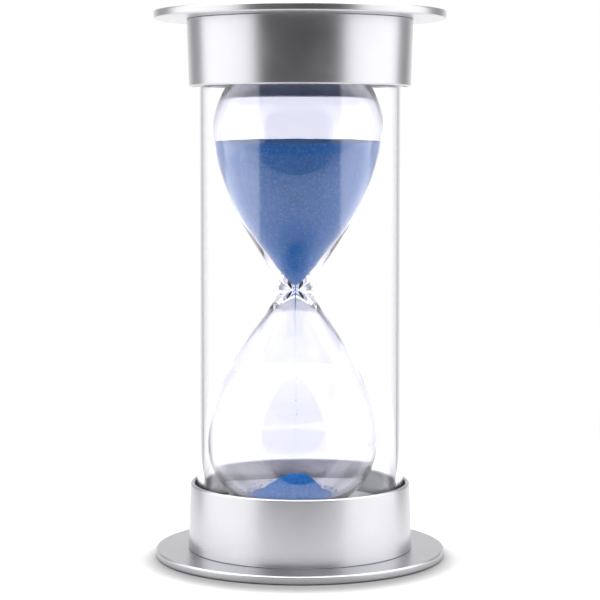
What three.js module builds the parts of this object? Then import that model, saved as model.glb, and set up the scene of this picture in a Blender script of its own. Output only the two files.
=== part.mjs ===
// A metal-ended sand timer: a one-piece glass bulb filled with blue sand, inside a clear
// glass tube that is closed at each end by an aluminium cap.
// Millimetres, +Z up. The origin is the centre of the face that the timer stands on.

import * as THREE from "three";

// Driving dimensions.
const HEIGHT = 131.4; // over the outer faces of the two end plates
const PLATE_RADIUS = 35;
const PLATE_THICKNESS = 2;
const COLLAR_HEIGHT = 16; // from the plate's inner face to the collar's rim
const COLLAR_BASE_RADIUS = 27.1;
const COLLAR_RIM_RADIUS = 26.6;
const COLLAR_WALL = 1;
const TUBE_RADIUS = 25;
const TUBE_WALL = 1.6;
const BULB_RADIUS = 20.6;
const BULB_HALF_LENGTH = 53.6;
const BELLY_WALL = 0.6;
const END_WALL = 1.3; // the glass gathers towards both ends of the bulb
const NECK_RADIUS = 4.2;
const WAIST_DROP = 1; // the blown waist lies a little below the middle
const THROAT_RADIUS = 0.75;
const THROAT_HALF_LENGTH = 0.4;
const FUNNEL_LENGTH = 5.5; // from the waist to where each cavity opens out
const SAND_LEVEL = 34.8; // the upper sand's surface, above the middle of the bulb
const PILE_RADIUS = 10;
const PILE_HEIGHT = 5.6;
const STREAM_TOP = 1.4; // where the falling thread leaves the upper sand
const GAP = 0.3; // between pieces that rest against each other

// Shared sizes that follow from them.
const MIDDLE = HEIGHT / 2;
const STUD_RADIUS = 2.9;
const COLLAR_FLOOR = PLATE_THICKNESS + GAP;
const COLLAR_FLOOR_THICKNESS = 1.2;
const SEAT_BOTTOM = COLLAR_FLOOR + COLLAR_FLOOR_THICKNESS + GAP;
const SEAT_THICKNESS = 1.2;
const SEAT_TOP = SEAT_BOTTOM + SEAT_THICKNESS;
const GASKET_BOTTOM = SEAT_TOP + GAP;
const GASKET_THICKNESS = 0.8;
const TUBE_END = GASKET_BOTTOM + GASKET_THICKNESS + GAP;
const WASHER_BOTTOM = SEAT_TOP + GAP;
const WASHER_THICKNESS = 0.8;
const NUT_BOTTOM = WASHER_BOTTOM + WASHER_THICKNESS + GAP;
const NUT_THICKNESS = 2.4;
const SHOULDER_START = 38; // distance from the middle where the flare has reached full width
const SHOULDER_RADIUS = 16.5;
const SHOULDER_CENTRE = BULB_RADIUS - SHOULDER_RADIUS;
const MOUTH_RADIUS = 3.3; // filling mouth in the upper end of the bulb
const FINE = 36; // segments round the large turned pieces
const COARSE = 24; // and round the small ones

const timer = new THREE.Group();

// Materials.

function material(color, roughness, metalness) {
  return new THREE.MeshStandardMaterial({ color, roughness, metalness });
}

function glass(color, opacity) {
  return new THREE.MeshStandardMaterial({
    color,
    roughness: 0.03,
    metalness: 0,
    transparent: true,
    opacity,
  });
}

const aluminium = () => material(0xc9cacd, 0.32, 1);
const steel = () => material(0xa3a6aa, 0.35, 1);
const nylon = () => material(0xe6e6e2, 0.5, 0);
const rubber = () => material(0x3a3b3d, 0.85, 0);
const foam = () => material(0xf0f0ee, 0.95, 0);
const stopperRubber = () => material(0xd8d9da, 0.7, 0);
const sand = () => material(0x5f8ccb, 0.9, 0);

// Shape helpers.

// Points are [radius, z] pairs. LatheGeometry turns about Y, so the result is stood up on Z.
function turned(points, segments) {
  const profile = points.map(([radius, z]) => new THREE.Vector2(radius, z));
  return new THREE.LatheGeometry(profile, segments).rotateX(Math.PI / 2);
}

// A ring's profile comes back to the point it started from.
function turnedRing(points, segments) {
  return turned([...points, points[0]], segments);
}

// An arc in the profile plane, angles in degrees from the +radius direction.
function arc(centreRadius, centreZ, radius, from, to, steps) {
  return Array.from({ length: steps + 1 }, (_, i) => {
    const angle = THREE.MathUtils.degToRad(from + ((to - from) * i) / steps);
    return [centreRadius + radius * Math.cos(angle), centreZ + radius * Math.sin(angle)];
  });
}

function add(name, geometry, look) {
  const mesh = new THREE.Mesh(geometry, look);
  mesh.name = name;
  timer.add(mesh);
  return mesh;
}

// The caps are alike. The top one is the bottom one turned over about the X axis.
function addToBothEnds(name, makeGeometry, makeLook) {
  add(`bottom_${name}`, makeGeometry(), makeLook());
  const top = add(`top_${name}`, makeGeometry(), makeLook());
  top.rotation.x = Math.PI;
  top.position.z = HEIGHT;
}

// Cap pieces, drawn for the bottom end.

// A turned plate with a rounded edge, a shallow relief in its outer face so that it stands
// on a flat outer ring, and a threaded stud in the middle of its inner face.
function endPlate() {
  const edge = 0.5;
  const reliefRadius = 29;
  const reliefDepth = 0.4;
  const studTop = 9.2;
  const studChamfer = 0.5;
  return turned(
    [
      [0, reliefDepth],
      [reliefRadius, reliefDepth],
      [reliefRadius + reliefDepth, 0],
      ...arc(PLATE_RADIUS - edge, edge, edge, -90, 0, 3),
      ...arc(PLATE_RADIUS - edge, PLATE_THICKNESS - edge, edge, 0, 90, 3),
      [STUD_RADIUS, PLATE_THICKNESS],
      [STUD_RADIUS, studTop - studChamfer],
      [STUD_RADIUS - studChamfer, studTop],
      [0, studTop],
    ],
    FINE,
  );
}

// A shallow drawn cup whose wall narrows slightly towards its rolled rim.
function collar() {
  const rimZ = PLATE_THICKNESS + COLLAR_HEIGHT;
  const rimRound = COLLAR_WALL / 2;
  const corner = 0.6;
  const boreRadius = STUD_RADIUS + GAP;
  const floorTop = COLLAR_FLOOR + COLLAR_FLOOR_THICKNESS;
  return turnedRing(
    [
      [boreRadius, COLLAR_FLOOR],
      ...arc(COLLAR_BASE_RADIUS - corner, COLLAR_FLOOR + corner, corner, -90, 0, 2),
      ...arc(COLLAR_RIM_RADIUS - rimRound, rimZ - rimRound, rimRound, 0, 180, 4),
      [COLLAR_BASE_RADIUS - COLLAR_WALL, floorTop],
      [boreRadius, floorTop],
    ],
    FINE,
  );
}

// A moulded seat: a disc on the collar's floor with a spigot that centres the tube.
function tubeSeat() {
  const outer = COLLAR_RIM_RADIUS - COLLAR_WALL - GAP;
  const spigotOuter = TUBE_RADIUS - TUBE_WALL - GAP;
  const spigotInner = spigotOuter - 1.6;
  const spigotTop = 9;
  return turnedRing(
    [
      [STUD_RADIUS + GAP, SEAT_BOTTOM],
      [outer, SEAT_BOTTOM],
      [outer, SEAT_TOP],
      [spigotOuter, SEAT_TOP],
      [spigotOuter, spigotTop],
      [spigotInner, spigotTop],
      [spigotInner, SEAT_TOP],
      [STUD_RADIUS + GAP, SEAT_TOP],
    ],
    FINE,
  );
}

// A plain ring with a rectangular section.
function flatRing(inner, outer, bottom, thickness, segments) {
  return turnedRing(
    [
      [inner, bottom],
      [outer, bottom],
      [outer, bottom + thickness],
      [inner, bottom + thickness],
    ],
    segments,
  );
}

function tubeGasket() {
  const inner = TUBE_RADIUS - TUBE_WALL;
  return flatRing(inner, TUBE_RADIUS, GASKET_BOTTOM, GASKET_THICKNESS, FINE);
}

function washer() {
  const outer = 6;
  return flatRing(STUD_RADIUS + GAP, outer, WASHER_BOTTOM, WASHER_THICKNESS, COARSE);
}

// A thin hexagon nut on the stud.
function nut() {
  const cornerRadius = 5.77;
  const corners = Array.from({ length: 6 }, (_, corner) => {
    const angle = (corner * Math.PI) / 3;
    return new THREE.Vector2(cornerRadius * Math.cos(angle), cornerRadius * Math.sin(angle));
  });
  const outline = new THREE.Shape(corners);
  const bore = new THREE.Path();
  bore.absarc(0, 0, STUD_RADIUS + GAP, 0, 2 * Math.PI, true);
  outline.holes.push(bore);
  const settings = { depth: NUT_THICKNESS, bevelEnabled: false, curveSegments: 10 };
  return new THREE.ExtrudeGeometry(outline, settings).translate(0, 0, NUT_BOTTOM);
}

// A foam disc that fills the mouth of the tube over the spigot. The end of the bulb rests in
// a dish in its face, and the hole in its middle leaves room for the nut and the stopper.
function bulbCushion() {
  const hole = 7.2;
  const collarOfSpigot = TUBE_RADIUS - TUBE_WALL - GAP - 1.6 - GAP;
  const outer = TUBE_RADIUS - TUBE_WALL - GAP;
  const step = 9.3;
  const face = 12.4;
  const edge = 0.4;
  const dishFloor = MIDDLE - BULB_HALF_LENGTH - GAP;
  const dishFloorRadius = 9.8;
  const dishRadius = 10.9;
  return turnedRing(
    [
      [hole, SEAT_TOP + GAP],
      [collarOfSpigot, SEAT_TOP + GAP],
      [collarOfSpigot, step],
      [outer, step],
      [outer, face - edge],
      [outer - edge, face],
      [dishRadius, face],
      [dishFloorRadius, dishFloor],
      [hole, dishFloor],
    ],
    FINE,
  );
}

// Glass pieces.

function outerTube() {
  const inner = TUBE_RADIUS - TUBE_WALL;
  return flatRing(inner, TUBE_RADIUS, TUBE_END, HEIGHT - 2 * TUBE_END, FINE);
}

// The two halves differ a little, as blown glass does: in how slowly the flare starts, and in
// how much glass has gathered at the waist.
const UPPER_HALF = { ease: 4, neckWall: 1.8 };
const LOWER_HALF = { ease: 3, neckWall: 1.3 };

// How far the flare has come, from 0 at the waist to 1 at the belly.
function flareShare(half, distance) {
  const run = (length) => Math.hypot(length, half.ease) - half.ease;
  return Math.min(run(distance) / run(SHOULDER_START), 1);
}

// The outer radius between the waist and the belly.
function outerFlare(half, distance) {
  const rest = (1 - flareShare(half, distance)) ** 1.85;
  return BULB_RADIUS - (BULB_RADIUS - NECK_RADIUS) * rest;
}

// The inner radius there. The wall thins towards the belly. At the waist each cavity narrows
// to a funnel, and a straight throat joins the two.
function innerFlare(half, distance) {
  const thinShare = 0.4;
  const open = (at) => {
    const thinned = THREE.MathUtils.smoothstep(flareShare(half, at), 0, thinShare);
    const wall = half.neckWall + (BELLY_WALL - half.neckWall) * thinned;
    return outerFlare(half, at) - wall;
  };
  if (distance >= FUNNEL_LENGTH) {
    return open(distance);
  }
  const intoFunnel = (distance - THROAT_HALF_LENGTH) / (FUNNEL_LENGTH - THROAT_HALF_LENGTH);
  return THROAT_RADIUS + (open(FUNNEL_LENGTH) - THROAT_RADIUS) * Math.max(intoFunnel, 0);
}

// Distances from the waist at which the flare is drawn, closer together near the waist.
function flareDistances(from, to, steps) {
  return Array.from({ length: steps }, (_, i) => from + (to - from) * (i / steps) ** 1.5);
}

// Profile of the shoulder and the flat end, for a wall that thickens towards the end.
function shoulder(wall, endWall) {
  const steps = 6;
  const turn = Math.asin((BULB_HALF_LENGTH - SHOULDER_START) / SHOULDER_RADIUS);
  return Array.from({ length: steps + 1 }, (_, i) => {
    const angle = (turn * i) / steps;
    const radius = SHOULDER_RADIUS - wall - ((endWall - wall) * i) / steps;
    return [SHOULDER_CENTRE + radius * Math.cos(angle), SHOULDER_START + radius * Math.sin(angle)];
  });
}

function outerHalf(half) {
  const flare = flareDistances(0, SHOULDER_START, 10).map((at) => [outerFlare(half, at), at]);
  return [...flare, ...shoulder(0, 0)];
}

function innerHalf(half) {
  const distances = [THROAT_HALF_LENGTH, ...flareDistances(FUNNEL_LENGTH, SHOULDER_START, 11)];
  const flare = distances.map((at) => [innerFlare(half, at), at]);
  return [...flare, ...shoulder(BELLY_WALL, END_WALL)];
}

const innerEnd = innerHalf(LOWER_HALF).at(-1)[1];

const drop = (distance) => WAIST_DROP * Math.max(0, 1 - distance / SHOULDER_START);
const above = ([radius, distance]) => [radius, MIDDLE + distance - drop(distance)];
const below = ([radius, distance]) => [radius, MIDDLE - distance - drop(distance)];

// One blown piece: closed at the lower end, with a small filling mouth in the upper end.
function glassBulb() {
  return turned(
    [
      below([0, BULB_HALF_LENGTH]),
      ...outerHalf(LOWER_HALF).slice(1).map(below).reverse(),
      ...outerHalf(UPPER_HALF).map(above),
      above([MOUTH_RADIUS, BULB_HALF_LENGTH]),
      above([MOUTH_RADIUS, innerEnd]),
      ...innerHalf(UPPER_HALF).map(above).reverse(),
      ...innerHalf(LOWER_HALF).map(below),
      below([0, innerEnd]),
    ],
    FINE,
  );
}

// A soft stopper in the filling mouth, with a flange that rests on the end of the bulb.
function fillPlug() {
  const shankTop = MOUTH_RADIUS - GAP;
  const shankTip = shankTop - 0.3;
  const shankLength = 4;
  const flangeRadius = 5;
  const flangeThickness = 1.2;
  const flangeBottom = MIDDLE + BULB_HALF_LENGTH + GAP;
  return turned(
    [
      [0, flangeBottom - shankLength],
      [shankTip, flangeBottom - shankLength],
      [shankTop, flangeBottom],
      [flangeRadius, flangeBottom],
      [flangeRadius, flangeBottom + flangeThickness],
      [0, flangeBottom + flangeThickness],
    ],
    COARSE,
  );
}

// Sand. It keeps the gap to the glass all over.

// The upper sand fills the bulb to its level, with a shallow dip over the neck.
function upperSand() {
  const start = STREAM_TOP + GAP;
  const dip = 1.5;
  const dipRadius = 7;
  const distances = [start, ...flareDistances(FUNNEL_LENGTH, SAND_LEVEL, 11), SAND_LEVEL];
  const wall = distances.map((distance) => {
    return above([innerFlare(UPPER_HALF, distance - GAP) - GAP, distance]);
  });
  return turned(
    [
      above([0, start]),
      ...wall,
      above([dipRadius, SAND_LEVEL]),
      above([0, SAND_LEVEL - dip]),
    ],
    FINE,
  );
}

// The lower sand is a heap on the inner floor of the bulb, which turns up under its foot.
function lowerSand() {
  const floor = innerEnd - GAP;
  const floorRadius = 8;
  const footHeight = 0.5;
  const tipRadius = 1;
  const tipHeight = 0.3;
  return turned(
    [
      below([0, floor]),
      below([floorRadius, floor]),
      below([PILE_RADIUS, floor - footHeight]),
      below([tipRadius, floor - PILE_HEIGHT + tipHeight]),
      below([0, floor - PILE_HEIGHT]),
    ],
    COARSE,
  );
}

// The falling thread of grains, from the throat to the top of the heap.
function sandStream() {
  const radius = 0.35;
  const segments = 8;
  const bottom = innerEnd - PILE_HEIGHT - 2 * GAP;
  return turned(
    [
      below([0, bottom]),
      below([radius, bottom]),
      above([radius, STREAM_TOP]),
      above([0, STREAM_TOP]),
    ],
    segments,
  );
}

addToBothEnds("end_plate", endPlate, aluminium);
addToBothEnds("collar", collar, aluminium);
addToBothEnds("tube_seat", tubeSeat, nylon);
addToBothEnds("washer", washer, steel);
addToBothEnds("nut", nut, steel);
addToBothEnds("tube_gasket", tubeGasket, rubber);
addToBothEnds("bulb_cushion", bulbCushion, foam);
add("outer_tube", outerTube(), glass(0xf4f5f8, 0.2));
add("glass_bulb", glassBulb(), glass(0xf1f1f8, 0.3));
add("fill_plug", fillPlug(), stopperRubber());
add("upper_sand", upperSand(), sand());
add("lower_sand", lowerSand(), sand());
add("sand_stream", sandStream(), sand());

export default timer;
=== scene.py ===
"""Looks for a metal-ended sand timer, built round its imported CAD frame, in metres."""

import math
import random

import bmesh
import bpy
from mathutils import Matrix, Vector, noise


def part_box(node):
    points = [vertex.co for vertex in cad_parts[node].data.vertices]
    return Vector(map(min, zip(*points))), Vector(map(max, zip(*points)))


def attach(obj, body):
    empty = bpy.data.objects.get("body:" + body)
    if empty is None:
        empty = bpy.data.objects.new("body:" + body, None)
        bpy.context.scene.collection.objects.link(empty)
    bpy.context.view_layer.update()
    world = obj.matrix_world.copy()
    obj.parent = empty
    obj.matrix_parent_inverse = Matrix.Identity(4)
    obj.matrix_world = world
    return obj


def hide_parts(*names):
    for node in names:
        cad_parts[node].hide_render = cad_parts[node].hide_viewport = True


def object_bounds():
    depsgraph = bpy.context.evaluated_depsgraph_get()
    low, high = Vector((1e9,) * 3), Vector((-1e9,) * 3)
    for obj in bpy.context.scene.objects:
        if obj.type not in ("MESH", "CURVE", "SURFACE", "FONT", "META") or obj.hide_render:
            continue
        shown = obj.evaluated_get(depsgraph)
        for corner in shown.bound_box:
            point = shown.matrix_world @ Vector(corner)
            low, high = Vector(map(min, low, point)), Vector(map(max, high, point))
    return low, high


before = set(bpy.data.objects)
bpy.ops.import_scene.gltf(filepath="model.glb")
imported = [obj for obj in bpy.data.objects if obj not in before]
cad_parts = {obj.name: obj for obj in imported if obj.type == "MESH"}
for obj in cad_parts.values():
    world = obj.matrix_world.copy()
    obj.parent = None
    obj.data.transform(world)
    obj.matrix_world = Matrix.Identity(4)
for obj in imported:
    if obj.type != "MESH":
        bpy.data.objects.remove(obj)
cad_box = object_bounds()


# --- Camera -----------------------------------------------------------------------------
# A short telephoto lens almost half a metre away, level with the sand in the upper bulb,
# and tipped down a little so that the base is in view.

MM = 0.001  # sizes are written in millimetres, and Blender works in metres
CAMERA_DISTANCE = 481
CAMERA_HEIGHT = 101.5
CAMERA_TILT = 4.17  # degrees below level

camera_lens = bpy.data.cameras.new("camera")
camera_lens.sensor_width = 36
camera_lens.lens = 119.7
camera_lens.shift_y = -0.03
camera = bpy.data.objects.new("camera", camera_lens)
camera.location = (0, -CAMERA_DISTANCE * MM, CAMERA_HEIGHT * MM)
camera.rotation_euler = (math.radians(90 - CAMERA_TILT), 0, 0)
bpy.context.collection.objects.link(camera)
bpy.context.scene.camera = camera
bpy.context.scene.view_settings.view_transform = "Standard"


# --- Studio -----------------------------------------------------------------------------
# Two tall soft boxes stand left and right of the camera, a broad light hangs overhead and a
# white sweep rises behind the timer from a glowing table. The dark room between the boxes,
# behind the camera, is what draws the band down polished metal and glass.

def colour(code):
    """An sRGB hex colour as the linear colour that a shader takes."""
    channels = [int(code[i:i + 2], 16) / 255 for i in (1, 3, 5)]
    linear = [c / 12.92 if c <= 0.04045 else ((c + 0.055) / 1.055) ** 2.4 for c in channels]
    return (*linear, 1)


def add_node(tree, kind, inputs, **settings):
    """Adds a node. Each input is a value or, to link it, another node's output."""
    node = tree.nodes.new(kind)
    for name, value in settings.items():
        setattr(node, name, value)
    for name, value in inputs.items():
        if isinstance(value, bpy.types.NodeSocket):
            tree.links.new(value, node.inputs[name])
        else:
            node.inputs[name].default_value = value
    return node


def set_stops(ramp, stops):
    """Gives a colour ramp its stops, as (position, linear colour)."""
    elements = ramp.color_ramp.elements
    while len(elements) < len(stops):
        elements.new(1)
    for element, (position, value) in zip(elements, stops):
        element.position = position
        element.color = value


# The mix node's colour sockets, which share their names with its number sockets.
MIX_A = 6
MIX_B = 7
MIX_RESULT = 2

WHITE = (1, 1, 1, 1)


def grey(level):
    return (level, level, level, 1)


def studio_world():
    """The light of the studio by direction. The camera itself sees plain white all round."""
    dark_room = grey(0.05)
    box_edge = grey(1.85)
    box_middle = grey(2.1)
    dim_corner = grey(0.42)
    back_wall = grey(0.74)
    white_sweep = grey(1.28)
    table_front = grey(0.6)
    table_back = grey(1.5)
    overhead = grey(3.2)

    def stop_at(angle):
        """The place on the ramp of a direction this many degrees round from the camera's."""
        return 0.5 - 0.5 * math.cos(math.radians(angle))

    world = bpy.data.worlds.new("studio")
    world.use_nodes = True
    tree = world.node_tree
    tree.nodes.clear()
    direction = add_node(tree, "ShaderNodeTexCoord", {}).outputs["Generated"]
    axes = add_node(tree, "ShaderNodeSeparateXYZ", {"Vector": direction})
    height = axes.outputs["Z"]
    depth = axes.outputs["Y"]

    round_room = add_node(tree, "ShaderNodeMapRange", {
        "Value": depth, "From Min": -1, "From Max": 1})
    walls = add_node(tree, "ShaderNodeValToRGB", {"Fac": round_room.outputs["Result"]})
    set_stops(walls, [
        (0, dark_room),
        (stop_at(45.5), dark_room),
        (stop_at(46.5), box_edge),
        (stop_at(90), box_middle),
        (stop_at(115), box_middle),
        (stop_at(121), dim_corner),
        (stop_at(145), dim_corner),
        (stop_at(158), back_wall),
    ])

    # Heights and depths below are parts of a direction of length 1.
    near_table = add_node(tree, "ShaderNodeMapRange", {
        "Value": height, "From Min": 0.2, "From Max": 0.12})
    straight_behind = add_node(tree, "ShaderNodeMapRange", {
        "Value": depth, "From Min": 0.78, "From Max": 0.97})
    on_sweep = add_node(tree, "ShaderNodeMath", {
        0: near_table.outputs["Result"], 1: straight_behind.outputs["Result"]},
        operation="MULTIPLY")
    with_sweep = add_node(tree, "ShaderNodeMix", {
        0: on_sweep.outputs["Value"], MIX_A: walls.outputs["Color"], MIX_B: white_sweep},
        data_type="RGBA")

    below_table_edge = add_node(tree, "ShaderNodeMapRange", {
        "Value": height, "From Min": -0.18, "From Max": -0.26})
    towards_back = add_node(tree, "ShaderNodeMapRange", {
        "Value": depth, "From Min": -0.7, "From Max": -0.4})
    table = add_node(tree, "ShaderNodeMix", {
        0: towards_back.outputs["Result"], MIX_A: table_front, MIX_B: table_back},
        data_type="RGBA")
    with_table = add_node(tree, "ShaderNodeMix", {
        0: below_table_edge.outputs["Result"], MIX_A: with_sweep.outputs[MIX_RESULT],
        MIX_B: table.outputs[MIX_RESULT]}, data_type="RGBA")

    towards_ceiling = add_node(tree, "ShaderNodeMapRange", {
        "Value": height, "From Min": 0.5, "From Max": 0.8})
    with_overhead = add_node(tree, "ShaderNodeMix", {
        0: towards_ceiling.outputs["Result"], MIX_A: with_table.outputs[MIX_RESULT],
        MIX_B: overhead}, data_type="RGBA")

    camera_ray = add_node(tree, "ShaderNodeLightPath", {}).outputs["Is Camera Ray"]
    shown = add_node(tree, "ShaderNodeMix", {
        0: camera_ray, MIX_A: with_overhead.outputs[MIX_RESULT], MIX_B: WHITE},
        data_type="RGBA")
    light = add_node(tree, "ShaderNodeBackground", {"Color": shown.outputs[MIX_RESULT]})
    add_node(tree, "ShaderNodeOutputWorld", {"Surface": light.outputs["Background"]})
    return world


def new_material(name):
    """A material with a principled shader, and its node tree and shader."""
    material = bpy.data.materials.new(name)
    material.use_nodes = True
    tree = material.node_tree
    return material, tree, tree.nodes["Principled BSDF"]


def white_board():
    """Matt white board: a shade darker in its far half and towards its front edge, where less
    light reaches it, and darkest in the soft contact shade round the timer's foot."""
    material, tree, shader = new_material("matt white board")
    fibres_per_metre = 900  # each about 1 mm long
    near_tones = (colour("#e6e6e6"), colour("#eeeeee"))
    far_tones = (colour("#cacaca"), colour("#d1d1d1"))
    front_light = 0.72
    shade_light = 0.3
    shade_centre = (0, -6 * MM, 0)
    shade_inner = 31 * MM
    shade_outer = 44 * MM
    place = add_node(tree, "ShaderNodeTexCoord", {}).outputs["Object"]
    depth = add_node(tree, "ShaderNodeSeparateXYZ", {"Vector": place}).outputs["Y"]
    fibre = add_node(tree, "ShaderNodeTexNoise", {"Vector": place, "Scale": fibres_per_metre})
    near = add_node(tree, "ShaderNodeValToRGB", {"Fac": fibre.outputs["Fac"]})
    set_stops(near, [(0, near_tones[0]), (1, near_tones[1])])
    far = add_node(tree, "ShaderNodeValToRGB", {"Fac": fibre.outputs["Fac"]})
    set_stops(far, [(0, far_tones[0]), (1, far_tones[1])])
    near_to_far = add_node(tree, "ShaderNodeMapRange", {
        "Value": depth, "From Min": -30 * MM, "From Max": 60 * MM})
    tone = add_node(tree, "ShaderNodeMix", {
        0: near_to_far.outputs["Result"], MIX_A: near.outputs["Color"],
        MIX_B: far.outputs["Color"]}, data_type="RGBA")
    front_fall_off = add_node(tree, "ShaderNodeMapRange", {
        "Value": depth, "From Min": -140 * MM, "From Max": -60 * MM,
        "To Min": front_light, "To Max": 1})
    from_shade = add_node(tree, "ShaderNodeVectorMath", {0: place, 1: shade_centre},
                          operation="DISTANCE")
    contact_shade = add_node(tree, "ShaderNodeMapRange", {
        "Value": from_shade.outputs["Value"], "From Min": shade_inner,
        "From Max": shade_outer, "To Min": shade_light, "To Max": 1},
        interpolation_type="SMOOTHSTEP")
    light = add_node(tree, "ShaderNodeMath", {
        0: front_fall_off.outputs["Result"], 1: contact_shade.outputs["Result"]},
        operation="MULTIPLY")
    shaded = add_node(tree, "ShaderNodeVectorMath", {
        0: tone.outputs[MIX_RESULT], "Scale": light.outputs["Value"]}, operation="SCALE")
    tree.links.new(shaded.outputs["Vector"], shader.inputs["Base Color"])
    shader.inputs["Roughness"].default_value = 0.8
    shader.inputs["Specular IOR Level"].default_value = 0.2
    return material


bpy.context.scene.world = studio_world()

# A ray to the far side of a cap crosses the walls of the tube and the bulb twice, and as many
# again on its way back to the light, so glass needs many bounces.
bpy.context.scene.cycles.max_bounces = 32
bpy.context.scene.cycles.transmission_bounces = 32
bpy.context.scene.cycles.glossy_bounces = 8
bpy.context.scene.cycles.diffuse_bounces = 6

# The floor is a round board, cut straight in front and narrowed to a strip behind the timer,
# so that from other sides the glass shows the white table and not the board's edge.
FLOOR_RADIUS = 420 * MM
FLOOR_FRONT = -145 * MM
STRIP_WIDTH = 200 * MM
FLOOR_GAP = 0.05 * MM
FLOOR_LEVEL = cad_box[0].z - FLOOR_GAP

floor_mesh = bmesh.new()
bmesh.ops.create_circle(floor_mesh, cap_ends=True, segments=96, radius=FLOOR_RADIUS)
for vert in floor_mesh.verts:
    if vert.co.y > MM:
        vert.co.x = math.copysign(min(abs(vert.co.x), STRIP_WIDTH / 2), vert.co.x)
    vert.co.y = max(vert.co.y, FLOOR_FRONT)
bmesh.ops.translate(floor_mesh, verts=floor_mesh.verts, vec=(0, 0, FLOOR_LEVEL))
floor_data = bpy.data.meshes.new("floor")
floor_mesh.to_mesh(floor_data)
floor_mesh.free()
floor_data.materials.append(white_board())
floor = bpy.data.objects.new("floor", floor_data)
bpy.context.collection.objects.link(floor)


# --- End plates -------------------------------------------------------------------------
# Each plate is turned from aluminium bar and lacquered: a disc with softened corners, a
# shallow relief in its outer face, and a threaded stud inside that holds the cap together.

HEIGHT = (cad_box[1].z - cad_box[0].z) / MM
ROUND_STEPS = 192
SAME_PLACE = 0.001 * MM  # points nearer than this are one
SHARP_EDGE = 35  # degrees, above which an edge is shaded sharp


def arc(centre_radius, centre_z, radius, start, end, steps):
    """Points along an arc of an outline, with its angles in degrees from the outward side."""
    angles = [math.radians(start + (end - start) * i / steps) for i in range(steps + 1)]
    return [(centre_radius + radius * math.cos(a), centre_z + radius * math.sin(a))
            for a in angles]


def turned(outline, closed=True, steps=ROUND_STEPS):
    """A solid of revolution about Z, from an outline of (radius, height) in millimetres."""
    mesh = bmesh.new()
    points = [mesh.verts.new((radius * MM, 0, z * MM)) for radius, z in outline]
    ends = points[1:] + points[:1] if closed else points[1:]
    lines = [mesh.edges.new(pair) for pair in zip(points, ends)]
    bmesh.ops.spin(mesh, geom=points + lines, axis=(0, 0, 1), cent=(0, 0, 0),
                   angle=2 * math.pi, steps=steps, use_merge=True)
    bmesh.ops.remove_doubles(mesh, verts=mesh.verts, dist=SAME_PLACE)
    bmesh.ops.recalc_face_normals(mesh, faces=mesh.faces)
    return mesh


def add_piece(name, mesh, material, node):
    """Makes a mesh into a piece of the timer that is shown in place of its CAD node."""
    data = bpy.data.meshes.new(name)
    mesh.to_mesh(data)
    mesh.free()
    data.shade_smooth()
    data.set_sharp_from_angle(angle=math.radians(SHARP_EDGE))
    data.materials.append(material)
    piece = bpy.data.objects.new(name, data)
    bpy.context.collection.objects.link(piece)
    piece.modifiers.new("even shading", "WEIGHTED_NORMAL").keep_sharp = True
    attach(piece, "root")
    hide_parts(node)
    return piece


def add_at_both_ends(name, make_mesh, material, node):
    """Adds a cap piece at the lower end, and the same piece turned over at the upper end."""
    lower = add_piece(f"lower_{name}", make_mesh(), material, f"bottom_{node}")
    mesh = make_mesh()
    bmesh.ops.rotate(mesh, verts=mesh.verts, cent=(0, 0, HEIGHT / 2 * MM),
                     matrix=Matrix.Rotation(math.pi, 3, "X"))
    upper = add_piece(f"upper_{name}", mesh, material, f"top_{node}")
    return lower, upper


def satin_aluminium(name, mark_depth):
    """Aluminium worked on a lathe, under satin lacquer. Its fine marks run round the axis, so
    highlights stretch across them, and handling leaves the gloss slightly uneven."""
    material, tree, shader = new_material(name)
    mark_pitch = 0.35 * MM  # true marks are finer than 0.1 mm, too fine to show
    smudges_per_metre = 60  # each about 17 mm across
    tones = (colour("#b6b6ba"), colour("#bebec2"))
    place = add_node(tree, "ShaderNodeTexCoord", {}).outputs["Object"]
    axes = add_node(tree, "ShaderNodeSeparateXYZ", {"Vector": place})
    flat = add_node(tree, "ShaderNodeCombineXYZ", {
        "X": axes.outputs["X"], "Y": axes.outputs["Y"]})
    radius = add_node(tree, "ShaderNodeVectorMath", {0: flat.outputs["Vector"]},
                      operation="LENGTH")
    across = add_node(tree, "ShaderNodeMath", {
        0: radius.outputs["Value"], 1: axes.outputs["Z"]}, operation="ADD")
    marks = add_node(tree, "ShaderNodeTexNoise", {
        "W": across.outputs["Value"], "Scale": 1 / mark_pitch, "Detail": 3},
        noise_dimensions="1D")
    smudges = add_node(tree, "ShaderNodeTexNoise", {
        "Vector": place, "Scale": smudges_per_metre, "Detail": 4, "Roughness": 0.6})
    base = add_node(tree, "ShaderNodeValToRGB", {"Fac": smudges.outputs["Fac"]})
    set_stops(base, [(0.3, tones[0]), (0.7, tones[1])])
    gloss = add_node(tree, "ShaderNodeMapRange", {
        "Value": smudges.outputs["Fac"], "From Min": 0.3, "From Max": 0.7,
        "To Min": 0.28, "To Max": 0.34})
    streaks = add_node(tree, "ShaderNodeMapRange", {
        "Value": marks.outputs["Fac"], "To Min": -0.04, "To Max": 0.04})
    rough = add_node(tree, "ShaderNodeMath", {
        0: gloss.outputs["Result"], 1: streaks.outputs["Result"]}, operation="ADD")
    relief = add_node(tree, "ShaderNodeBump", {
        "Height": marks.outputs["Fac"], "Strength": 0.25, "Distance": mark_depth})
    tangent = add_node(tree, "ShaderNodeTangent", {}, direction_type="RADIAL", axis="Z")
    shader.inputs["Metallic"].default_value = 1
    shader.inputs["Anisotropic"].default_value = 0.2
    shader.inputs["Anisotropic Rotation"].default_value = 0.25
    tree.links.new(base.outputs["Color"], shader.inputs["Base Color"])
    tree.links.new(rough.outputs["Value"], shader.inputs["Roughness"])
    tree.links.new(relief.outputs["Normal"], shader.inputs["Normal"])
    tree.links.new(tangent.outputs["Tangent"], shader.inputs["Tangent"])
    return material


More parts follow.
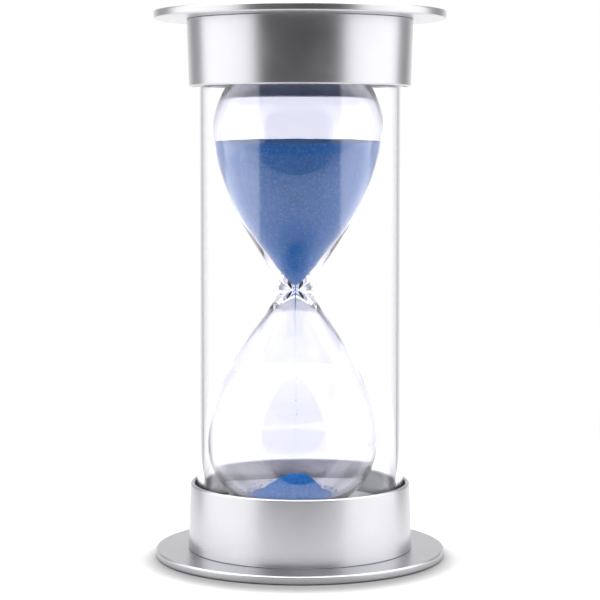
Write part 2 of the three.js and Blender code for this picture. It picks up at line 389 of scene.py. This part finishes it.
PLATE_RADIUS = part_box("bottom_end_plate")[1].x / MM
PLATE_THICKNESS = 2
STUD_RADIUS = 2.9


def end_plate():
    """The plate and its stud in one outline. Each turn of the thread is drawn as a ring."""
    corner = 0.5
    relief_radius = 29
    relief_depth = 0.4
    relief_round = 0.2
    fillet = 0.3
    stud_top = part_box("bottom_end_plate")[1].z / MM
    thread_pitch = 1
    thread_depth = 0.5
    crest = (0.4, 0.6)  # where the crest starts and ends, as parts of the pitch
    thread_start = PLATE_THICKNESS + 2 * fillet
    turns = int((stud_top - thread_start) / thread_pitch)
    root = STUD_RADIUS - thread_depth
    thread = []
    for turn in range(turns):
        z = thread_start + turn * thread_pitch
        thread += [(root, z), *((STUD_RADIUS, z + part * thread_pitch) for part in crest)]
    outer_face = [(0, relief_depth), (relief_radius - relief_round, relief_depth)]
    rim = [
        *arc(relief_radius + relief_depth, relief_round, relief_round, 180, 270, 4),
        *arc(PLATE_RADIUS - corner, corner, corner, -90, 0, 6),
        *arc(PLATE_RADIUS - corner, PLATE_THICKNESS - corner, corner, 0, 90, 6),
    ]
    inner_face = [(STUD_RADIUS + fillet, PLATE_THICKNESS),
                  (STUD_RADIUS, PLATE_THICKNESS + fillet)]
    tip = [(root, stud_top), (0, stud_top)]
    return turned([*outer_face, *rim, *inner_face, *thread, *tip], closed=False)


PLATE_METAL = satin_aluminium("satin aluminium, turned", 0.01 * MM)

add_at_both_ends("end_plate", end_plate, PLATE_METAL, "end_plate")


# --- Collars ----------------------------------------------------------------------------
# Each collar is a shallow cup drawn from aluminium sheet and clamped to its plate. Its wall
# narrows slightly to a rounded lip, which stands clear of the tube all the way round.

COLLAR_WALL = 1
COLLAR_FLOOR = 1.2
COLLAR_TAPER = 0.5
COLLAR_BASE_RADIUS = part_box("bottom_collar")[1].x / MM
COLLAR_RIM_RADIUS = COLLAR_BASE_RADIUS - COLLAR_TAPER
COLLAR_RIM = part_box("bottom_collar")[1].z / MM
SEAM = 0.05  # shows as a thin dark line where the collar meets its plate
STUD_HOLE = STUD_RADIUS + 0.3


def collar():
    corner = 0.15
    lip = COLLAR_WALL / 2
    inner_corner = 0.8
    bottom = PLATE_THICKNESS + SEAM
    floor_top = bottom + COLLAR_FLOOR
    inner = COLLAR_BASE_RADIUS - COLLAR_WALL - inner_corner
    return turned([
        (STUD_HOLE, bottom),
        *arc(COLLAR_BASE_RADIUS - corner, bottom + corner, corner, -90, 0, 6),
        *arc(COLLAR_RIM_RADIUS - lip, COLLAR_RIM - lip, lip, 0, 180, 10),
        *arc(inner, floor_top + inner_corner, inner_corner, 0, -90, 6),
        (STUD_HOLE, floor_top),
    ])


def unpolished_aluminium_painted_lighter():
    """Aluminium as it was drawn: quite matt, with the die's faint upright streaks. Its pale
    tone, lighter than the lacquered outside, is painted light on the inner wall in the cup's
    shade.
    """
    material, tree, shader = new_material("drawn aluminium, unpolished, painted lighter")
    streaks_per_metre = 700  # each about 1.5 mm wide and ten times as long
    place = add_node(tree, "ShaderNodeTexCoord", {}).outputs["Object"]
    stretch = add_node(tree, "ShaderNodeMapping", {"Vector": place, "Scale": (1, 1, 0.1)})
    streak = add_node(tree, "ShaderNodeTexNoise", {
        "Vector": stretch.outputs["Vector"], "Scale": streaks_per_metre, "Detail": 2})
    tone = add_node(tree, "ShaderNodeValToRGB", {"Fac": streak.outputs["Fac"]})
    # Painted light: these tones lie well above the outside's, to brighten the shaded inner
    # wall.
    set_stops(tone, [(0.3, colour("#e4e4e8")), (0.7, colour("#eeeef2"))])
    gloss = add_node(tree, "ShaderNodeMapRange", {
        "Value": streak.outputs["Fac"], "To Min": 0.65, "To Max": 0.8})
    tree.links.new(tone.outputs["Color"], shader.inputs["Base Color"])
    tree.links.new(gloss.outputs["Result"], shader.inputs["Roughness"])
    shader.inputs["Metallic"].default_value = 1
    return material


COLLAR_METAL = satin_aluminium("satin aluminium, drawn", 0.006 * MM)
INSIDE_METAL_PAINTED_LIGHTER = unpolished_aluminium_painted_lighter()

# Inside the rounded lip, the wall and the floor are left matt as they were drawn, and painted
# lighter than the outside: painted light in the shade of the cup.
POLISHED_FROM = (COLLAR_RIM_RADIUS - 0.8 * COLLAR_WALL) * MM
for cup in add_at_both_ends("collar", collar, COLLAR_METAL, "collar"):
    cup.data.materials.append(INSIDE_METAL_PAINTED_LIGHTER)
    for face in cup.data.polygons:
        face.material_index = int(face.center.xy.length < POLISHED_FROM)


# --- Tube seats -------------------------------------------------------------------------
# Inside each collar lies a disc moulded in white nylon. Its spigot centres the glass tube,
# and the nut on the plate's stud clamps it down with the collar.

def moulded_nylon():
    """Moulded nylon: a fine spark-eroded grain that makes an even, waxy sheen."""
    material, tree, shader = new_material("moulded nylon, white")
    grain_size = 0.3 * MM
    clouds_per_metre = 120  # each about 8 mm across
    place = add_node(tree, "ShaderNodeTexCoord", {}).outputs["Object"]
    grain = add_node(tree, "ShaderNodeTexVoronoi", {"Vector": place, "Scale": 1 / grain_size})
    cloud = add_node(tree, "ShaderNodeTexNoise", {"Vector": place, "Scale": clouds_per_metre})
    tone = add_node(tree, "ShaderNodeValToRGB", {"Fac": cloud.outputs["Fac"]})
    set_stops(tone, [(0.3, colour("#e2e2de")), (0.7, colour("#ececea"))])
    relief = add_node(tree, "ShaderNodeBump", {
        "Height": grain.outputs["Distance"], "Strength": 0.3, "Distance": 0.02 * MM})
    tree.links.new(tone.outputs["Color"], shader.inputs["Base Color"])
    tree.links.new(relief.outputs["Normal"], shader.inputs["Normal"])
    shader.inputs["Roughness"].default_value = 0.45
    shader.inputs["IOR"].default_value = 1.53
    return material


SEAT_THICKNESS = 1.2
SEAT_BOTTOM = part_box("bottom_tube_seat")[0].z / MM
SEAT_TOP = SEAT_BOTTOM + SEAT_THICKNESS
SPIGOT_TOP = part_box("bottom_tube_seat")[1].z / MM
SEAT_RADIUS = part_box("bottom_tube_seat")[1].x / MM
TUBE_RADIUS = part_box("outer_tube")[1].x / MM
TUBE_WALL = 1.6


def tube_seat():
    clearance = 0.2
    edge = 0.25
    spigot_wall = 1.6
    spigot_outer = TUBE_RADIUS - TUBE_WALL - clearance
    spigot_inner = spigot_outer - spigot_wall
    return turned([
        (STUD_HOLE, SEAT_BOTTOM),
        *arc(SEAT_RADIUS - edge, SEAT_BOTTOM + edge, edge, -90, 0, 3),
        *arc(SEAT_RADIUS - edge, SEAT_TOP - edge, edge, 0, 90, 3),
        (spigot_outer, SEAT_TOP),
        *arc(spigot_outer - edge, SPIGOT_TOP - edge, edge, 0, 90, 3),
        *arc(spigot_inner + edge, SPIGOT_TOP - edge, edge, 90, 180, 3),
        *arc(spigot_inner - edge, SEAT_TOP + edge, edge, 0, -90, 3),
        (STUD_HOLE, SEAT_TOP),
    ], steps=96)


add_at_both_ends("tube_seat", tube_seat, moulded_nylon(), "tube_seat")


# --- Washers and nuts -------------------------------------------------------------------
# A plain washer and a thin hexagon nut on each stud pull the collar and the seat down onto
# the plate. Both are zinc-plated steel, and the cushion hides them.

def zinc_plated_steel():
    """Zinc-plated steel: a cool grey with a cloudy, slightly crystalline gloss."""
    material, tree, shader = new_material("zinc-plated steel")
    crystal = 1.2 * MM
    place = add_node(tree, "ShaderNodeTexCoord", {}).outputs["Object"]
    spangle = add_node(tree, "ShaderNodeTexVoronoi", {"Vector": place, "Scale": 1 / crystal})
    tone = add_node(tree, "ShaderNodeValToRGB", {"Fac": spangle.outputs["Distance"]})
    set_stops(tone, [(0.1, colour("#a9adb2")), (0.8, colour("#bcc0c6"))])
    gloss = add_node(tree, "ShaderNodeMapRange", {
        "Value": spangle.outputs["Distance"], "To Min": 0.28, "To Max": 0.42})
    tree.links.new(tone.outputs["Color"], shader.inputs["Base Color"])
    tree.links.new(gloss.outputs["Result"], shader.inputs["Roughness"])
    shader.inputs["Metallic"].default_value = 1
    return material


def washer():
    low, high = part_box("bottom_washer")
    edge = 0.15
    bottom, top, outer = low.z / MM, high.z / MM, high.x / MM
    return turned([
        (STUD_HOLE, bottom),
        *arc(outer - edge, bottom + edge, edge, -90, 0, 3),
        *arc(outer - edge, top - edge, edge, 0, 90, 3),
        (STUD_HOLE, top),
    ], steps=64)


def nut():
    """A hexagon ring raised to the nut's thickness, with all its edges broken."""
    low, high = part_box("bottom_nut")
    corner_radius = high.x
    thread_gap = 0.1
    bore = (STUD_RADIUS + thread_gap) * MM
    thickness = high.z - low.z
    chamfer = 0.25 * MM
    mesh = bmesh.new()
    outside = bmesh.ops.create_circle(mesh, segments=6, radius=corner_radius)["verts"]
    sides = {edge for vert in outside for edge in vert.link_edges}
    bmesh.ops.subdivide_edges(mesh, edges=list(sides), cuts=3)
    outer_loop = list(mesh.edges)
    bmesh.ops.create_circle(mesh, segments=24, radius=bore)
    bore_loop = [edge for edge in mesh.edges if edge not in outer_loop]
    bmesh.ops.bridge_loops(mesh, edges=outer_loop + bore_loop)
    raised = bmesh.ops.extrude_face_region(mesh, geom=list(mesh.faces))["geom"]
    lifted = [item for item in raised if isinstance(item, bmesh.types.BMVert)]
    bmesh.ops.translate(mesh, verts=lifted, vec=(0, 0, thickness))
    bmesh.ops.translate(mesh, verts=mesh.verts, vec=(0, 0, low.z))
    bmesh.ops.recalc_face_normals(mesh, faces=mesh.faces)
    crisp = [edge for edge in mesh.edges if edge.calc_face_angle(0) > math.radians(50)]
    bmesh.ops.bevel(mesh, geom=crisp, affect="EDGES", offset=chamfer, segments=2,
                    profile=0.5, material=-1)
    return mesh


FASTENER_STEEL = zinc_plated_steel()

add_at_both_ends("washer", washer, FASTENER_STEEL, "washer")
add_at_both_ends("nut", nut, FASTENER_STEEL, "nut")


# --- Tube gaskets -----------------------------------------------------------------------
# A flat ring of black rubber under each end of the tube takes up its length and keeps the
# glass off the nylon.

def sheet_rubber():
    """Cut sheet rubber: nearly black, dusty and without gloss."""
    material, tree, shader = new_material("sheet rubber, black")
    specks_per_metre = 1500  # each about 0.7 mm across
    place = add_node(tree, "ShaderNodeTexCoord", {}).outputs["Object"]
    dust = add_node(tree, "ShaderNodeTexNoise", {
        "Vector": place, "Scale": specks_per_metre, "Detail": 2})
    tone = add_node(tree, "ShaderNodeValToRGB", {"Fac": dust.outputs["Fac"]})
    set_stops(tone, [(0.4, colour("#2b2b2d")), (0.8, colour("#4a4a4c"))])
    tree.links.new(tone.outputs["Color"], shader.inputs["Base Color"])
    shader.inputs["Roughness"].default_value = 0.9
    return material


def tube_gasket():
    low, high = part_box("bottom_tube_gasket")
    edge = 0.2
    bottom, top, outer = low.z / MM, high.z / MM, high.x / MM
    inner = outer - TUBE_WALL
    return turned([
        *arc(inner + edge, bottom + edge, edge, 180, 270, 3),
        *arc(outer - edge, bottom + edge, edge, -90, 0, 3),
        *arc(outer - edge, top - edge, edge, 0, 90, 3),
        *arc(inner + edge, top - edge, edge, 90, 180, 3),
    ], steps=96)


add_at_both_ends("tube_gasket", tube_gasket, sheet_rubber(), "tube_gasket")


# --- Glass bulb -------------------------------------------------------------------------
# One piece of clear soda-lime glass, blown into two bellies and drawn in to a waist where
# the glass has gathered. It was filled through a small mouth in its upper end.

MIDDLE = HEIGHT / 2
BULB_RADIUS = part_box("glass_bulb")[1].x / MM
BULB_HALF_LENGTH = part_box("glass_bulb")[1].z / MM - MIDDLE
BELLY_WALL = 0.45
END_WALL = 1.3
NECK_RADIUS = 4.2
WAIST_DROP = 1  # how far the waist lies below the middle
THROAT_RADIUS = 0.75
THROAT_HALF_LENGTH = 0.4
FUNNEL_LENGTH = 5.5  # from the waist to where each cavity opens out
SHOULDER_START = 38
SHOULDER_RADIUS = 16.5
SHOULDER_CENTRE = BULB_RADIUS - SHOULDER_RADIUS
MOUTH_RADIUS = 3.3
FLARE_POWER = 1.85
THINNED_BY = 0.4  # the share of the flare over which the wall thins
BULB_SHIFT = 0.2  # sideways, at the top of the bulb
BULB_LEAN = 0.0172  # further sideways, per millimetre of depth below the top

# How slowly the flare starts in each half, and the glass that has gathered at the waist.
UPPER_HALF = {"ease": 4, "neck_wall": 1.8}
LOWER_HALF = {"ease": 3, "neck_wall": 1.3}


def flare_share(half, distance):
    """How far the flare has come, from 0 at the waist to 1 at the belly."""
    ease = half["ease"]
    run = math.hypot(distance, ease) - ease
    return min(1, run / (math.hypot(SHOULDER_START, ease) - ease))


def outer_flare(half, distance):
    """Radius of the outside, at a distance from the waist."""
    rest = (1 - flare_share(half, distance)) ** FLARE_POWER
    return BULB_RADIUS - (BULB_RADIUS - NECK_RADIUS) * rest


def inner_flare(half, distance):
    """Radius of the cavity, whose wall thins towards the belly. A funnel ends in the throat."""
    if distance < FUNNEL_LENGTH:
        into = (distance - THROAT_HALF_LENGTH) / (FUNNEL_LENGTH - THROAT_HALF_LENGTH)
        mouth = inner_flare(half, FUNNEL_LENGTH)
        return THROAT_RADIUS + (mouth - THROAT_RADIUS) * max(0, into)
    share = min(1, flare_share(half, distance) / THINNED_BY)
    thinned = share * share * (3 - 2 * share)
    wall = half["neck_wall"] + (BELLY_WALL - half["neck_wall"]) * thinned
    return outer_flare(half, distance) - wall


def shoulder(wall, end_wall):
    """The shoulder as (radius, distance), for a wall that thickens towards the end."""
    turn = math.asin((BULB_HALF_LENGTH - SHOULDER_START) / SHOULDER_RADIUS)
    steps = 24
    points = []
    for step in range(steps + 1):
        radius = SHOULDER_RADIUS - wall - (end_wall - wall) * step / steps
        angle = turn * step / steps
        points.append((SHOULDER_CENTRE + radius * math.cos(angle),
                       SHOULDER_START + radius * math.sin(angle)))
    return points


def flare_distances(start, end, steps):
    """Distances from the waist, closer together near it."""
    crowding = 1.3
    return [start + (end - start) * (i / steps) ** crowding for i in range(steps)]


def outside(half):
    """One half's outside from the waist to its end, as (radius, distance)."""
    return [*((outer_flare(half, d), d) for d in flare_distances(0, SHOULDER_START, 44)),
            *shoulder(0, 0)]


def inside(half):
    """One half's cavity from the throat to its end, as (radius, distance)."""
    funnel = [THROAT_HALF_LENGTH, *flare_distances(1, SHOULDER_START, 48)]
    return [*((inner_flare(half, d), d) for d in funnel), *shoulder(BELLY_WALL, END_WALL)]


INNER_END = inside(LOWER_HALF)[-1][1]


def placed(radius, distance):
    """A point of the bulb in millimetres, from its distance above or below the waist."""
    drop = WAIST_DROP * max(0, 1 - abs(distance) / SHOULDER_START)
    return radius, MIDDLE + distance - drop


def above(points):
    """Points of the upper half, from the waist up."""
    return [placed(radius, distance) for radius, distance in points]


def below(points):
    """Points of the lower half, from its end up to the waist."""
    return [placed(radius, -distance) for radius, distance in reversed(points)]


def sideways(height):
    """How far the bulb's axis lies to the left at a height, because the bulb leans."""
    return BULB_SHIFT + BULB_LEAN * (MIDDLE + BULB_HALF_LENGTH - height)


def lean(verts, weight=lambda place: 1):
    """Moves points sideways with the leaning bulb, or by a share of that."""
    for vert in verts:
        vert.co.x -= weight(vert.co) * sideways(vert.co.z / MM) * MM


def glass_bulb():
    """One outline up the outside, in at the mouth and down the inside."""
    end = BULB_HALF_LENGTH
    mesh = turned([
        *below([*outside(LOWER_HALF)[1:], (0, end)]),
        *above(outside(UPPER_HALF)),
        *above([(MOUTH_RADIUS, end), (MOUTH_RADIUS, INNER_END)]),
        *reversed(above(inside(UPPER_HALF))),
        *reversed(below([*inside(LOWER_HALF), (0, INNER_END)])),
    ], closed=False)
    lean(mesh.verts)
    return mesh


def clear_glass(name, tint, wave_size, wave_height):
    """Clear glass: it bends and mirrors the room, with the faint waviness of its making."""
    material, tree, shader = new_material(name)
    place = add_node(tree, "ShaderNodeTexCoord", {}).outputs["Object"]
    wave = add_node(tree, "ShaderNodeTexNoise", {
        "Vector": place, "Scale": 1 / wave_size, "Detail": 1})
    relief = add_node(tree, "ShaderNodeBump", {
        "Height": wave.outputs["Fac"], "Strength": 1, "Distance": wave_height})
    tree.links.new(relief.outputs["Normal"], shader.inputs["Normal"])
    shader.inputs["Base Color"].default_value = colour(tint)
    shader.inputs["Roughness"].default_value = 0
    shader.inputs["IOR"].default_value = 1.5
    shader.inputs["Transmission Weight"].default_value = 1
    return material


BULB_GLASS = clear_glass("soda-lime glass, blown", "#f8f8fe", 9 * MM, 0.05 * MM)

add_piece("blown_bulb", glass_bulb(), BULB_GLASS, "glass_bulb")


# --- Stopper ----------------------------------------------------------------------------
# A moulded silicone stopper is pushed into the filling mouth. Its flange rests on the bulb's
# end, in the hole of the upper cushion.

def silicone():
    """Moulded silicone: milky, with a soft skin that takes dust."""
    material, tree, shader = new_material("silicone")
    cloud_size = 2.5 * MM
    place = add_node(tree, "ShaderNodeTexCoord", {}).outputs["Object"]
    cloud = add_node(tree, "ShaderNodeTexNoise", {"Vector": place, "Scale": 1 / cloud_size})
    tone = add_node(tree, "ShaderNodeValToRGB", {"Fac": cloud.outputs["Fac"]})
    set_stops(tone, [(0.3, colour("#d2d3d4")), (0.7, colour("#e0e1e2"))])
    tree.links.new(tone.outputs["Color"], shader.inputs["Base Color"])
    shader.inputs["Roughness"].default_value = 0.6
    return material


def stopper():
    low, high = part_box("fill_plug")
    edge = 0.3
    squeeze_gap = 0.1
    seat_gap = 0.05
    tip, top, flange = low.z / MM, high.z / MM, high.x / MM
    shank = MOUTH_RADIUS - squeeze_gap
    seat = MIDDLE + BULB_HALF_LENGTH + seat_gap
    mesh = turned([
        (0, tip),
        *arc(shank - 2 * edge, tip + edge, edge, -90, 0, 3),
        (shank, seat),
        *arc(flange - edge, seat + edge, edge, -90, 0, 3),
        *arc(flange - edge, top - edge, edge, 0, 90, 3),
        (0, top),
    ], closed=False, steps=64)
    lean(mesh.verts)
    return mesh


add_piece("silicone_stopper", stopper(), silicone(), "fill_plug")


# --- Bulb cushions ----------------------------------------------------------------------
# A disc cut from white closed-cell foam fills each mouth of the tube, over the spigot. The
# end of the bulb rests in a dish in it, and a hole in its middle clears nut and stopper.

def closed_cell_foam():
    """Closed-cell foam: matt white skin, pitted where the cells were cut through, and painted
    a little darker in the pits as painted shade.
    """
    material, tree, shader = new_material("closed-cell foam, white")
    cell = 0.7 * MM
    place = add_node(tree, "ShaderNodeTexCoord", {}).outputs["Object"]
    cells = add_node(tree, "ShaderNodeTexVoronoi", {"Vector": place, "Scale": 1 / cell},
                     feature="SMOOTH_F1")
    tone = add_node(tree, "ShaderNodeValToRGB", {"Fac": cells.outputs["Distance"]})
    # Painted shade: the tone is darkest at the bottom of each pit, where the relief sinks.
    set_stops(tone, [(0.1, colour("#e6e6e6")), (0.5, colour("#fafafa"))])
    relief = add_node(tree, "ShaderNodeBump", {
        "Height": cells.outputs["Distance"], "Strength": 0.6, "Distance": 0.15 * MM})
    tree.links.new(tone.outputs["Color"], shader.inputs["Base Color"])
    tree.links.new(relief.outputs["Normal"], shader.inputs["Normal"])
    shader.inputs["Roughness"].default_value = 0.95
    return material


DISH_RADIUS = 10.8
FACE_RADIUS = 20  # inside it the face gives way with the dish


def bulb_cushion():
    """A plug with a ledge on the spigot. Rings in its face let it give way smoothly."""
    low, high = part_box("bottom_bulb_cushion")
    bottom, face, outer = low.z / MM, high.z / MM, high.x / MM
    clearance = 0.1
    hole = 7.2
    edge = 0.35
    plug_radius = outer - 1.9  # of the part that goes down inside the spigot
    ledge = SPIGOT_TOP + clearance
    dish_edge = 0.4
    dish_lip = 0.1
    face_rings = (FACE_RADIUS, 17, 14, DISH_RADIUS + dish_edge)
    dish_floor = MIDDLE - BULB_HALF_LENGTH - clearance
    dish_floor_radius = 9.7
    return turned([
        (hole, bottom),
        *arc(plug_radius - edge, bottom + edge, edge, -90, 0, 4),
        (plug_radius, ledge),
        *arc(outer - edge, ledge + edge, edge, -90, 0, 4),
        *arc(outer - edge, face - edge, edge, 0, 90, 6),
        *((radius, face) for radius in face_rings),
        (DISH_RADIUS, face - dish_lip),
        (dish_floor_radius, dish_floor),
        (hole, dish_floor),
    ], steps=128)


def near_dish(place):
    """How far a point of a cushion follows the bulb that rests in it, from 0 to 1."""
    still_up_to = 8.8
    follows_over = 2
    radius = place.xy.length / MM
    height = min(place.z / MM, HEIGHT - place.z / MM)
    inwards = min(1, max(0, (FACE_RADIUS - radius) / (FACE_RADIUS - DISH_RADIUS)))
    upwards = min(1, max(0, (height - still_up_to) / follows_over))
    return inwards * upwards


cushions = add_at_both_ends("bulb_cushion", bulb_cushion, closed_cell_foam(),
                            "bulb_cushion")
for cushion in cushions:
    lean(cushion.data.vertices, near_dish)


# --- Sand -------------------------------------------------------------------------------
# Dyed quartz sand. Most of it still fills the upper belly to a level line, a thread of it
# falls through the throat, and the first of it lies in a small heap below.

GRAIN = 0.3


def dyed_sand():
    """Dyed quartz sand: blue grains of uneven depth, some pale where the dye is thin."""
    material, tree, shader = new_material("dyed quartz sand, blue")
    place = add_node(tree, "ShaderNodeTexCoord", {}).outputs["Object"]
    grains = add_node(tree, "ShaderNodeTexVoronoi", {
        "Vector": place, "Scale": 1 / (GRAIN * MM)})
    speck = add_node(tree, "ShaderNodeSeparateColor", {"Color": grains.outputs["Color"]})
    tone = add_node(tree, "ShaderNodeValToRGB", {"Fac": speck.outputs["Red"]})
    set_stops(tone, [
        (0, colour("#2188ec")),
        (0.4, colour("#2a9afc")),
        (0.9, colour("#38a6ff")),
        (1, colour("#6cbcff")),
    ])
    relief = add_node(tree, "ShaderNodeBump", {
        "Height": grains.outputs["Distance"], "Strength": 0.3, "Distance": 0.1 * MM},
        invert=True)
    tree.links.new(tone.outputs["Color"], shader.inputs["Base Color"])
    tree.links.new(relief.outputs["Normal"], shader.inputs["Normal"])
    shader.inputs["Roughness"].default_value = 0.85
    shader.inputs["Specular IOR Level"].default_value = 0.15
    return material


SAND = dyed_sand()
SAND_CLEARANCE = 0.06
SAND_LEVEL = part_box("upper_sand")[1].z / MM


def unevenness(vert, size, height):
    """A height in metres that wanders over a surface, from smooth noise of the given size."""
    return noise.noise(vert.co / (size * MM)) * height * MM


def upper_sand():
    """Sand against the cavity's wall, with a shallow dip over the throat."""
    level = SAND_LEVEL - MIDDLE
    start = 1.6  # above the waist, in the funnel
    dip = 1.2
    dip_radius = 6.5
    tilt = 0.03  # how fast the surface rises towards the back
    tilt_depth = 6  # below the surface, where the tilt has died out
    wall_edge = 0.4
    rings = 30
    distances = [*flare_distances(start, level, 60), level]
    wall = [(inner_flare(UPPER_HALF, d) - SAND_CLEARANCE, d) for d in distances]
    rim = wall[-1][0]
    top = []
    for ring in range(1, rings + 1):
        radius = rim * (1 - ring / rings)
        fall = dip * 0.5 * (1 + math.cos(math.pi * min(radius / dip_radius, 1)))
        top.append((radius, level - fall))
    mesh = turned(above([(0, start), *wall, *top]), closed=False)
    edge = (rim - wall_edge) * MM
    for vert in mesh.verts:
        depth = SAND_LEVEL * MM - vert.co.z
        if depth < (dip + 0.3) * MM and vert.co.xy.length < edge:
            vert.co.z += unevenness(vert, 3, 0.25) + unevenness(vert, 0.8, 0.1)
        near_top = max(0, 1 - depth / (tilt_depth * MM))
        vert.co.z += tilt * vert.co.y * near_top
    lean(mesh.verts)
    return mesh


def add_grains(mesh, places, seed):
    """Adds loose grains, each a small block of quartz turned at random, at given places."""
    chance = random.Random(seed)
    for place in places:
        grain = bmesh.ops.create_icosphere(mesh, subdivisions=1,
                                           radius=GRAIN * MM * chance.uniform(0.35, 0.6))
        tilt = Matrix.Rotation(chance.uniform(0, 6), 3, "X")
        tilt = tilt @ Matrix.Rotation(chance.uniform(0, 6), 3, "Y")
        bmesh.ops.scale(mesh, verts=grain["verts"], vec=(1, 0.8, 0.7))
        bmesh.ops.rotate(mesh, verts=grain["verts"], cent=(0, 0, 0), matrix=tilt)
        bmesh.ops.translate(mesh, verts=grain["verts"], vec=place)


HEAP_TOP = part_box("lower_sand")[1].z / MM
HEAP_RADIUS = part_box("lower_sand")[1].x / MM


def inner_floor(radius):
    """Height of the bulb's inner floor at a radius, in millimetres."""
    points = shoulder(BELLY_WALL, END_WALL)[::-1]
    for (near, deep), (far, shallow) in zip(points, points[1:]):
        if radius < far:
            share = max(0, radius - near) / (far - near)
            return MIDDLE - deep - (shallow - deep) * share
    return MIDDLE - SHOULDER_START


def lower_sand():
    """A soft heap on the bulb's floor, with loose grains scattered round its foot."""
    rings = 40
    floor_rings = 8
    loose_grains = 260
    scatter = 0.12  # beyond the foot, as a share of the heap's radius
    clear = SAND_CLEARANCE
    foot = inner_floor(HEAP_RADIUS) + clear
    peak = HEAP_TOP - foot
    skew = 1.3  # the top lies under the throat, off the middle of the leaning bulb's floor
    under = [(HEAP_RADIUS * i / floor_rings, inner_floor(HEAP_RADIUS * i / floor_rings) + clear)
             for i in range(floor_rings + 1)]
    slope = []
    for ring in range(1, rings + 1):
        share = 1 - ring / rings
        height = (1 + math.cos(math.pi * share ** 1.2)) / 2
        slope.append((HEAP_RADIUS * share, foot + peak * height))
    mesh = turned([*under, *slope], closed=False, steps=144)
    for vert in mesh.verts:
        radius = vert.co.xy.length / MM
        on_slope = vert.co.z / MM > inner_floor(radius) + 2 * clear
        if on_slope:
            fade = min(1, 3 * (1 - radius / HEAP_RADIUS))
            vert.co.x += skew * max(0, vert.co.z / MM - foot) / peak * MM
            vert.co.z += fade * (unevenness(vert, 2.5, 0.35) + unevenness(vert, 0.7, 0.12))
    chance = random.Random(7)
    places = []
    for _ in range(loose_grains):
        radius = HEAP_RADIUS * (1 + abs(chance.gauss(0, scatter)))
        angle = chance.uniform(0, 2 * math.pi)
        height = inner_floor(radius) + 0.5 * GRAIN
        places.append(Vector((radius * math.cos(angle), radius * math.sin(angle), height)) * MM)
    add_grains(mesh, places, 8)
    lean(mesh.verts)
    return mesh


def sand_stream():
    """A thread of sand out of the throat, then single grains that draw apart as they fall."""
    low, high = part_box("sand_stream")
    top, bottom = high.z / MM, low.z / MM
    thread_length = 6
    thread_radius = 0.2
    thread_end_radius = 0.05
    first_grain = 2
    thread_end = top - thread_length
    mesh = turned([(0, thread_end), (thread_end_radius, thread_end), (thread_radius, top),
                   (0, top)], closed=False, steps=12)
    chance = random.Random(3)
    places = []
    fallen = first_grain
    while top - fallen > bottom:
        spread = 0.1 + 0.004 * fallen
        places.append(Vector((chance.gauss(0, spread), chance.gauss(0, spread),
                              top - fallen)) * MM)
        fallen += 0.3 + 0.16 * math.sqrt(fallen)
    add_grains(mesh, places, 4)
    shift = -sideways(MIDDLE - WAIST_DROP) * MM
    bmesh.ops.translate(mesh, verts=mesh.verts, vec=(shift, 0, 0))
    return mesh


add_piece("sand_in_upper_belly", upper_sand(), SAND, "upper_sand")
add_piece("sand_heap", lower_sand(), SAND, "lower_sand")
add_piece("falling_sand", sand_stream(), SAND, "sand_stream")


# --- Outer tube -------------------------------------------------------------------------
# A length of clear drawn borosilicate tube guards the bulb. Its cut ends are ground smooth
# and stand on the gaskets, round the spigots, where the collars hide them.

def outer_tube():
    low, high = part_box("outer_tube")
    edge = 0.2
    bottom, top = low.z / MM, high.z / MM
    inner = TUBE_RADIUS - TUBE_WALL
    return turned([
        *arc(inner + edge, bottom + edge, edge, 180, 270, 3),
        *arc(TUBE_RADIUS - edge, bottom + edge, edge, -90, 0, 3),
        *arc(TUBE_RADIUS - edge, top - edge, edge, 0, 90, 3),
        *arc(inner + edge, top - edge, edge, 90, 180, 3),
    ], steps=256)


TUBE_GLASS = clear_glass("borosilicate glass, drawn", "#fbfbfe", 30 * MM, 0.01 * MM)

add_piece("drawn_tube", outer_tube(), TUBE_GLASS, "outer_tube")
